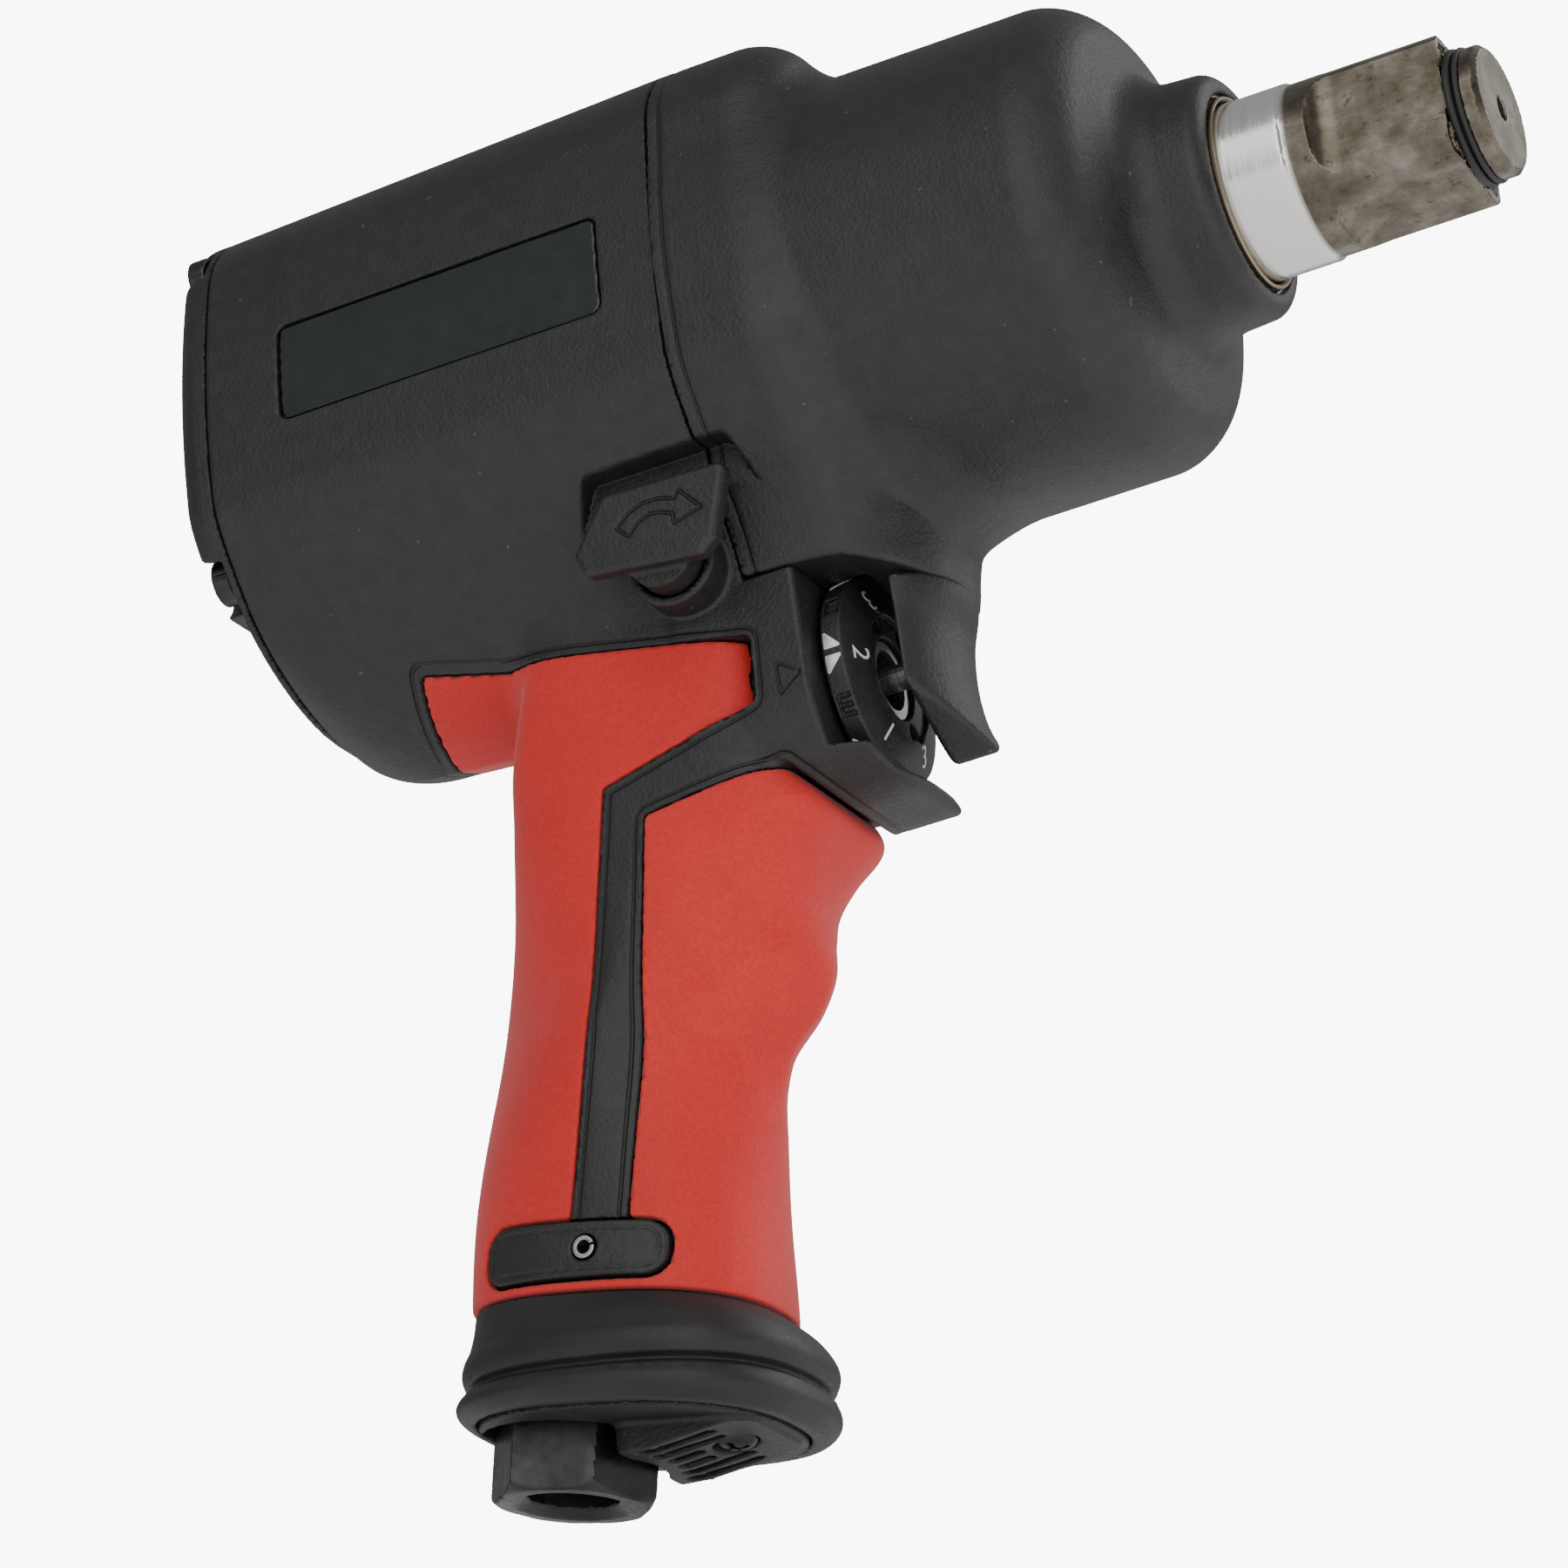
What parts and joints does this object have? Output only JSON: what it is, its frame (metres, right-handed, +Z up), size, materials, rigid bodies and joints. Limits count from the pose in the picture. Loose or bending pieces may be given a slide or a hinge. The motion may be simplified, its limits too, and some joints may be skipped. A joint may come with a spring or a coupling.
{
  "type": "impact wrench",
  "caption": "Air impact wrench with pistol grip, square drive anvil, twin hammer mechanism, vane motor, trigger, power dial and reverse lever.",
  "frame": {"origin": "under the middle of the tool's length and width, at its lowest point", "axes": "+X towards the drive end along the barrel, +Z up from the grip to the barrel, +Y to the tool's left"},
  "size_m": [0.1894, 0.0702, 0.1979],
  "materials": {
    "housing": "fine grained black composite",
    "red_rubber": "soft matte overmould",
    "black_rubber": "matte",
    "gloss_black": "smooth label film",
    "drive_steel": "ground and worn",
    "steel": "machined",
    "dark_steel": "blackened",
    "alloy": "cast and machined",
    "bronze": "turned",
    "fibre": "pressed fibre"
  },
  "bodies": {
    "housing": {"anvil_bushing": "bronze", "badge_far": "housing", "badge_near": "housing", "base_ring": "black_rubber", "case_gasket": "fibre", "cover_bolt_1": "dark_steel", "cover_bolt_2": "dark_steel", "cover_bolt_3": "dark_steel", "cover_bolt_4": "dark_steel", "exhaust_cover": "housing", "exhaust_screw": "dark_steel", "front_bearing": "steel", "front_end_plate": "alloy", "grip_overmold": "red_rubber", "grip_pin": "steel", "hammer_case": "alloy", "hammer_case_cover": "housing", "inlet_bushing": "dark_steel", "inlet_screen": "steel", "label_plate_far": "gloss_black", "label_plate_near": "gloss_black", "motor_cylinder": "alloy", "motor_housing": "housing", "muffler_felt": "fibre", "rear_bearing": "steel", "rear_cover": "housing", "rear_end_plate": "alloy", "rear_gasket": "fibre", "throttle_bushing": "steel", "throttle_spring": "steel"},
    "trigger": {"trigger": "housing", "trigger_stem": "steel", "throttle_valve": "black_rubber"},
    "dial": {"regulator_dial": "housing"},
    "reverse_valve": {"reverse_spindle": "steel", "reverse_lever_near": "housing", "reverse_lever_far": "housing"},
    "rotor_group": {"rotor": "steel", "vane_1": "fibre", "vane_2": "fibre", "vane_3": "fibre", "vane_4": "fibre", "vane_5": "fibre", "vane_6": "fibre", "hammer_cage": "steel", "hammer_pin_1": "steel", "hammer_pin_2": "steel"},
    "rear_hammer": {"hammer_rear": "steel"},
    "front_hammer": {"hammer_front": "steel"},
    "anvil_group": {"anvil": "drive_steel", "drive_o_ring": "black_rubber", "retaining_ring": "dark_steel"}
  },
  "joints": [
    {"name": "trigger_slide", "type": "slide", "parent": "housing", "child": "trigger", "axis": [1, 0, 0], "range_m": [-0.005, 0], "stiffness_N_per_m": 1000, "springref_m": 0.004},
    {"name": "dial_turn", "type": "hinge", "parent": "housing", "child": "dial", "pos_m": [-0.0099, 0, 0.10538], "axis": [1, 0, 0], "range_deg": [-45, 45]},
    {"name": "reverse_turn", "type": "hinge", "parent": "housing", "child": "reverse_valve", "pos_m": [-0.026, 0, 0.12128], "axis": [0, 1, 0], "range_deg": [-22, 0]},
    {"name": "rotor_spin", "type": "hinge", "parent": "housing", "child": "rotor_group", "pos_m": [-0.0233, 0, 0.15908], "axis": [1, 0, 0], "continuous": true},
    {"name": "rear_hammer_rock", "type": "hinge", "parent": "rotor_group", "child": "rear_hammer", "pos_m": [-0.0023, 0, 0.18108], "axis": [1, 0, 0], "range_deg": [-2, 2]},
    {"name": "front_hammer_rock", "type": "hinge", "parent": "rotor_group", "child": "front_hammer", "pos_m": [0.0157, 0, 0.13708], "axis": [1, 0, 0], "range_deg": [-2, 2]},
    {"name": "anvil_spin", "type": "hinge", "parent": "housing", "child": "anvil_group", "pos_m": [0.0767, 0, 0.15908], "axis": [1, 0, 0], "continuous": true}
  ]
}
